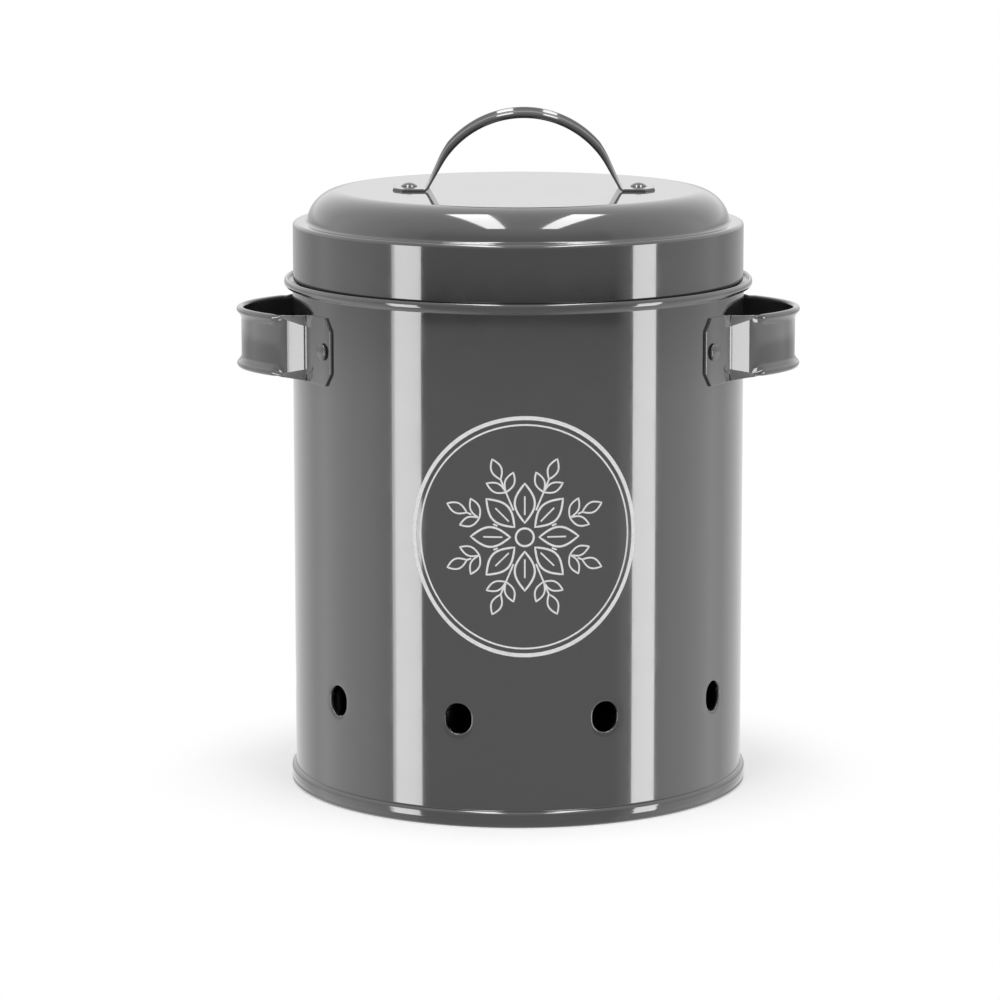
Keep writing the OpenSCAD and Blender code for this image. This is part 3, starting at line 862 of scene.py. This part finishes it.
def grip(steel):
    leg_a = math.radians(LEG_A)
    arch_y = GRIP_RISE - GRIP_R
    arch_end = on_circle((0, arch_y), GRIP_R, math.pi / 2 - leg_a)
    foot_x = arch_end.x + arch_end.y / math.tan(leg_a)
    leg_up = Vector((arch_end.x - foot_x, arch_end.y)).normalized()
    foot = corner_arc(Vector((foot_x, 0)), Vector((-1, 0)), leg_up, FOOT_R, BEND_STEPS)
    tab_steps = 5
    lengths = tip_lengths() + [mix(CHAMFER_L, TAB_L - FOOT_R, k / tab_steps)
                               for k in range(1, tab_steps)]
    tab = [Vector((foot_x + TAB_L - l, 0)) for l in lengths]
    # The leg's first row supports the bend at its foot
    leg = [foot[-1].lerp(arch_end, share) for share in (0.03, 0.2, 0.4, 0.6, 0.8)]
    right = tab + foot + leg
    arch = [on_circle((0, arch_y), GRIP_R, math.pi / 2 + mix(-leg_a, leg_a, i / ARCH_STEPS))
            for i in range(ARCH_STEPS + 1)]
    left = [Vector((-p.x, p.y)) for p in reversed(right)]
    grip_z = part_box("lid_handle")[0].z

    def press_of(end_l):
        return 1 - clamp01((end_l - TAB_L) / LEG_FLAT_L), FACET_W[0], 0.0, 0.0

    bm = strap_mesh(right + arch + left, press_of,
                    lambda x, y, z: Vector(((x + GRIP_SHIFT) * MM, -z * MM, grip_z + y * MM)))
    carried("lid_grip", bm, steel, "lid", "lid_handle", sharp_deg=20.0)


def on_wall(u, v, lift):
    """A print point u across and v up, on the wall's face and lifted off it."""
    a = math.radians(PRINT_TURN) - math.pi / 2 + u / BODY_R
    r = BODY_R + lift
    return Vector((r * math.cos(a), r * math.sin(a), PRINT_Z + v)) * MM


def ribbon(bm, points, width, closed):
    """A printed line along the points, with its ends square."""
    n = len(points)
    rows = []
    for i, p in enumerate(points):
        before = points[i - 1] if closed or i else p
        after = points[(i + 1) % n] if closed or i < n - 1 else p
        side = (after - before).normalized()
        side = Vector((-side.y, side.x)) * width / 2
        left, right = p + side, p - side
        rows.append([bm.verts.new(on_wall(q.x, q.y, lift)) for q, lift in
                     ((left, INK_LOW), (left, INK_HIGH), (right, INK_HIGH), (right, INK_LOW))])
    for a, b in zip(rows, rows[1:] + rows[:1] if closed else rows[1:]):
        bridge(bm, a, b)
    if not closed:
        bm.faces.new(rows[0][::-1])
        bm.faces.new(rows[-1])


def oval(half_w, half_h, steps):
    turns = [math.tau * i / steps for i in range(steps)]
    return [Vector((half_w * math.cos(a), half_h * math.sin(a))) for a in turns]


def leaf(foot, heading, length, half_w):
    """Outline of a pointed leaf, from its foot round to its foot again."""
    steps = 14
    side = Vector((-heading.y, heading.x))
    there = [foot + heading * length * i / steps + side * half_w * math.sin(math.pi * i / steps)
             for i in range(steps)]
    back = [foot + heading * length * (1 - i / steps)
            - side * half_w * math.sin(math.pi * i / steps) for i in range(steps)]
    return there + back


def front_print(white):
    """Two rings with a leaf ornament in them: petals round a small ring, each with a vein, and
    between them stems with three leaves each."""
    bm = bmesh.new()
    for half_w, half_h, line_w in RINGS:
        ribbon(bm, oval(half_w, half_h, RING_STEPS), line_w, True)
    petals = 8
    bold, fine, vein = 0.6, 0.5, 0.45
    petal_from, petal_l, petal_half_w = 4.2, 11.5, 2.9
    vein_from, vein_to = 6.5, 12
    stem_from, side_leaves_at, stem_to = 8.5, 14.2, 18.2
    side_turn, side_l, side_half_w = 0.75, 6.2, 1.35
    end_l, end_half_w = 6.4, 1.5
    for i in range(petals):
        a = math.tau * i / petals
        way = facing(a)
        ribbon(bm, leaf(way * petal_from, way, petal_l, petal_half_w), bold, True)
        ribbon(bm, [way * vein_from, way * vein_to], vein, False)
        a += math.pi / petals
        way = facing(a)
        ribbon(bm, [way * stem_from, way * stem_to], fine, False)
        for turn_a in (side_turn, -side_turn):
            side_way = facing(a + turn_a)
            ribbon(bm, leaf(way * side_leaves_at, side_way, side_l, side_half_w), fine, True)
        ribbon(bm, leaf(way * stem_to, way, end_l, end_half_w), fine, True)
    centre_r, centre_steps = 2.6, 32
    ribbon(bm, oval(centre_r, centre_r, centre_steps), bold, True)
    bmesh.ops.recalc_face_normals(bm, faces=bm.faces)
    piece = finish_piece("front_print", bm, white, "canister", sharp_deg=20.0)


def math_node(nodes, links, operation, a, b=None):
    """A step of arithmetic on one or two values, each a number or the output of a node."""
    node = nodes.new("ShaderNodeMath")
    node.operation = operation
    for socket, value in zip(node.inputs, (a, b)):
        if value is None:
            continue
        if isinstance(value, (int, float)):
            socket.default_value = value
        else:
            links.new(value, socket)
    return node.outputs[0]


def ramp(nodes, links, value, low, high, to_low, to_high):
    """A smooth step from to_low, where the value is low, to to_high, where it is high."""
    node = nodes.new("ShaderNodeMapRange")
    node.interpolation_type = "SMOOTHSTEP"
    for name, at in (("From Min", low), ("From Max", high), ("To Min", to_low), ("To Max", to_high)):
        if isinstance(at, (int, float)):
            node.inputs[name].default_value = at
        else:
            links.new(at, node.inputs[name])
    links.new(value, node.inputs["Value"])
    return node.outputs["Result"]


def floor():
    material, nodes, links, shader = new_material("floor_paper")
    nodes.remove(shader)
    output = nodes["Material Output"]
    paper = nodes.new("ShaderNodeBsdfDiffuse")
    paper.inputs["Color"].default_value = (0.86, 0.86, 0.865, 1)
    glow = nodes.new("ShaderNodeEmission")
    glow.inputs["Color"].default_value = (1, 1, 1, 1)
    path = nodes.new("ShaderNodeLightPath")
    seen = path.outputs["Is Camera Ray"]
    glow_strength = 0.3
    links.new(math_node(nodes, links, "MULTIPLY", seen, glow_strength), glow.inputs["Strength"])
    both = nodes.new("ShaderNodeAddShader")
    links.new(paper.outputs[0], both.inputs[0])
    links.new(glow.outputs[0], both.inputs[1])
    # Away from the canister and its shadow the paper is plain white to the camera
    white = nodes.new("ShaderNodeEmission")
    white.inputs["Color"].default_value = (1, 1, 1, 1)
    reach = nodes.new("ShaderNodeVectorMath")
    reach.operation = "LENGTH"
    links.new(nodes.new("ShaderNodeTexCoord").outputs["Object"], reach.inputs[0])
    shadow_r, white_r = 0.071, 0.12
    far = ramp(nodes, links, reach.outputs["Value"], shadow_r, white_r, 0.0, 1.0)
    pick = nodes.new("ShaderNodeMixShader")
    links.new(math_node(nodes, links, "MULTIPLY", far, seen), pick.inputs[0])
    links.new(both.outputs[0], pick.inputs[1])
    links.new(white.outputs[0], pick.inputs[2])
    links.new(pick.outputs[0], output.inputs["Surface"])
    bm = bmesh.new()
    bmesh.ops.create_grid(bm, x_segments=4, y_segments=4, size=6)
    mesh = bpy.data.meshes.new("floor")
    bm.to_mesh(mesh)
    bm.free()
    mesh.materials.append(material)
    piece = bpy.data.objects.new("floor", mesh)
    bpy.context.scene.collection.objects.link(piece)
    piece.visible_glossy = False


def panel(name, centre, aim, width, height, radiance):
    """A softbox that gives the stated radiance, seen in reflections and not by the camera."""
    data = bpy.data.lights.new(name, "AREA")
    data.shape = "RECTANGLE"
    data.size, data.size_y = width, height
    data.energy = radiance * math.pi * width * height
    lamp = bpy.data.objects.new(name, data)
    lamp.location = centre
    lamp.rotation_euler = (Vector(aim) - Vector(centre)).to_track_quat("-Z", "Y").to_euler()
    bpy.context.scene.collection.objects.link(lamp)
    lamp.visible_camera = False
    return lamp


def lights():
    """Upright strips on both sides, which the wall reflects, and two level panels above."""
    strip_radiance, strip_far = 5.0, 1.2
    low_z, high_z = -0.4, 0.3
    z = (low_z + high_z) / 2
    # Each strip's edges in degrees from the front, and its share of the radiance
    strips = (("left_panel_edge", -65.0, -63.3, 0.55), ("left_panel", -63.3, -48.6, 1.0),
              ("right_panel", 58.2, 71.7, 1.0))
    for name, from_deg, to_deg, share in strips:
        middle = math.radians((from_deg + to_deg) / 2)
        half = math.radians((to_deg - from_deg) / 2)
        centre = (strip_far * math.sin(middle), -strip_far * math.cos(middle), z)
        panel(name, centre, (0, 0, z), 2 * strip_far * math.tan(half), high_z - low_z,
              strip_radiance * share)
    # The panels above are level, at a height of rise over the lid. Their edges are shares of rise
    top_radiance = 7.0
    rise, lid_z = 1.2, 0.178
    y0, y1 = -0.78, 0.32
    for name, x0, x1 in (("top_panel_left", -0.31, -0.12), ("top_panel_right", 0.225, 0.4)):
        centre = ((x0 + x1) / 2 * rise, (y0 + y1) / 2 * rise, lid_z + rise)
        lamp = panel(name, centre, (centre[0], centre[1], 0), (x1 - x0) * rise,
                     (y1 - y0) * rise, top_radiance)
        lamp.rotation_euler = (0, 0, 0)


def studio():
    """White for the camera. Reflections see a white studio with a dark side in front, and the
    rest of the light is plain and even."""
    world = bpy.data.worlds.new("studio")
    bpy.context.scene.world = world
    world.use_nodes = True
    nodes, links = world.node_tree.nodes, world.node_tree.links
    background = nodes["Background"]
    split = nodes.new("ShaderNodeSeparateXYZ")
    links.new(nodes.new("ShaderNodeTexCoord").outputs["Generated"], split.inputs[0])
    x, y, z = split.outputs
    squares = math_node(nodes, links, "ADD", math_node(nodes, links, "MULTIPLY", x, x),
                        math_node(nodes, links, "MULTIPLY", y, y))
    flat = math_node(nodes, links, "SQRT", squares)
    front = math_node(nodes, links, "DIVIDE", math_node(nodes, links, "MULTIPLY", y, -1.0), flat)
    # The white part of the studio, behind and round both sides. front is -1 straight behind
    # and 1 straight in front
    back = ramp(nodes, links, z, -0.1, 0.1, 0.77, 0.92)
    towards_front = ramp(nodes, links, front, 0.1, 0.5, 1.1, 0.88)
    side = ramp(nodes, links, front, -0.65, -0.4, back, towards_front)
    # The table's far edge: darker from there up to eye level, and darkest in front at the edge
    below_eye = ramp(nodes, links, z, -0.150, -0.128, 1.0, 0.7)
    wall_share = ramp(nodes, links, z, 0.0, 0.12, below_eye, 1.0)
    side = math_node(nodes, links, "MULTIPLY", side, wall_share)
    table = ramp(nodes, links, z, -0.1328, -0.1295, 0.62, 0.0)
    above_edge = ramp(nodes, links, z, -0.1268, -0.1175, table, 0.46)
    dark_side = ramp(nodes, links, z, 0.0, 0.12, above_edge, 0.66)
    around = ramp(nodes, links, front, 0.53, 0.66, side, dark_side)
    studio_light = ramp(nodes, links, z, 0.3, 0.9, around, 1.05)
    # Light that isn't seen in a reflection is plain
    plain = 0.4
    path = nodes.new("ShaderNodeLightPath").outputs
    seen = math_node(nodes, links, "MAXIMUM", path["Is Glossy Ray"], path["Is Transmission Ray"])
    lit = ramp(nodes, links, seen, 0.0, 1.0, plain, studio_light)
    strength = ramp(nodes, links, path["Is Camera Ray"], 0.0, 1.0, lit, 1.0)
    background.inputs["Color"].default_value = (1, 0.99, 1, 1)
    links.new(strength, background.inputs["Strength"])


camera()
bpy.context.scene.view_settings.view_transform = "Standard"
black = (0.034, 0.0325, 0.0345)
steel_paint = enamel("gloss_enamel", black, (0.041, 0.039, 0.0415))
rivet_paint = enamel("rivet_enamel", black, (0.046, 0.044, 0.0465))
white_ink = ink("white_ink", (0.93, 0.93, 0.925))
paint_nodes(steel_paint, rivet_paint)
wall(steel_paint)
base(steel_paint)
lid(steel_paint)
side_handle("side_strap_right", 1, RIGHT_WEB, "side_handle_right", steel_paint)
side_handle("side_strap_left", -1, LEFT_WEB, "side_handle_left", steel_paint)
side_rivets(rivet_paint)
grip(steel_paint)
front_print(white_ink)
floor()
lights()
studio()
